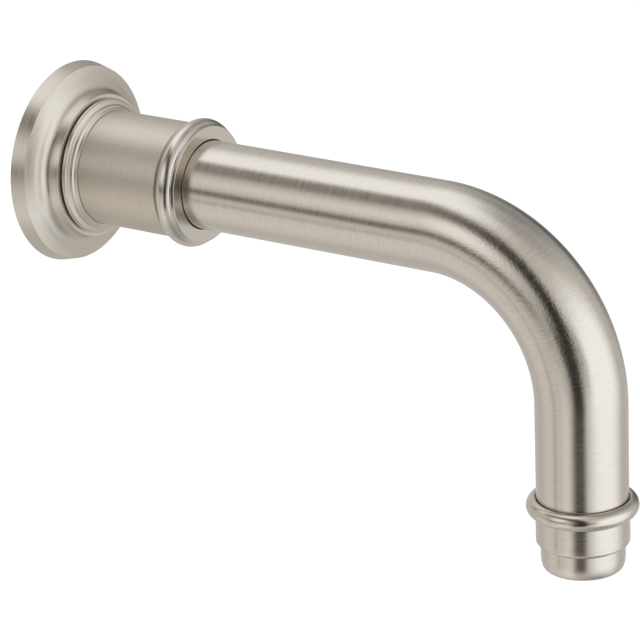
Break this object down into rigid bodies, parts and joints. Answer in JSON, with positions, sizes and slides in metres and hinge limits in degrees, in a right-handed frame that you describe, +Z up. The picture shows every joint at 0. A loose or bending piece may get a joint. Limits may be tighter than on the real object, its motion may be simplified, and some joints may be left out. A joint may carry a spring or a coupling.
{
  "type": "wall mounted bath spout",
  "caption": "Wall-mounted bath spout: a straight tube that bends down to a screw-in aerator nozzle, carried by a ringed sleeve behind a round stepped wall flange.",
  "frame": {"origin": "centre of the flange's back, on the wall plane and on the axis of the sleeve and the tube's straight run; the inlet socket opens here", "axes": "+Y into the wall, out of the inlet socket, so the spout runs along -Y; +Z up, with the outlet facing -Z; +X to the right when looking at the wall"},
  "size_m": [0.07, 0.2213, 0.1439],
  "materials": {
    "nickel": "brushed nickel plate over brass, grain running round each piece",
    "brass": "machined brass",
    "rubber": "moulded rubber",
    "foam": "closed-cell foam",
    "acetal": "moulded acetal",
    "steel": "stainless steel"
  },
  "bodies": {
    "wall_side": {"wall_connector": "brass", "inlet_washer": "rubber", "connector_o_ring_rear": "rubber", "connector_o_ring_front": "rubber"},
    "spout": {"mounting_body": "brass", "sleeve": "nickel", "front_ring": "nickel", "retaining_clip": "steel", "tube_guide_bush": "acetal", "spout_tube": "nickel", "body_o_ring": "rubber", "collar_o_ring": "rubber", "outlet_bead": "nickel", "outlet_collar": "nickel"},
    "flange": {"wall_flange": "nickel", "base_ring": "nickel", "flange_o_ring": "rubber", "flange_gasket": "foam"},
    "screw_pad": {"clamp_pad": "brass"},
    "screw": {"set_screw": "steel"},
    "aerator": {"aerator_washer": "rubber", "inlet_screen": "steel", "flow_regulator": "acetal", "aerator_cage": "acetal", "stream_former": "acetal"},
    "nozzle": {"nozzle_shell": "nickel"}
  },
  "joints": [
    {"name": "spout_turn", "type": "hinge", "parent": "wall_side", "child": "spout", "pos_m": [0, 0, 0], "axis": [0, 1, 0], "continuous": true},
    {"name": "flange_slide", "type": "slide", "parent": "spout", "child": "flange", "axis": [0, -1, 0], "range_m": [0, 0.03]},
    {"name": "screw_advance", "type": "slide", "parent": "spout", "child": "screw_pad", "axis": [0, 0, -1], "range_m": [0, 0.0024]},
    {"name": "screw_turn", "type": "hinge", "parent": "screw_pad", "child": "screw", "pos_m": [0, -0.024, -0.0157], "axis": [0, 0, -1], "range_deg": [0, 1081]},
    {"name": "nozzle_travel", "type": "slide", "parent": "spout", "child": "aerator", "axis": [0, 0, -1], "range_m": [0, 0.005]},
    {"name": "nozzle_turn", "type": "hinge", "parent": "aerator", "child": "nozzle", "pos_m": [0, -0.2028, -0.1], "axis": [0, 0, -1], "range_deg": [0, 1801]}
  ],
  "couplings": [
    {"joint": "screw_turn", "follows": "screw_advance", "rad_per_m": 7854},
    {"joint": "nozzle_turn", "follows": "nozzle_travel", "rad_per_m": 6283.2}
  ]
}
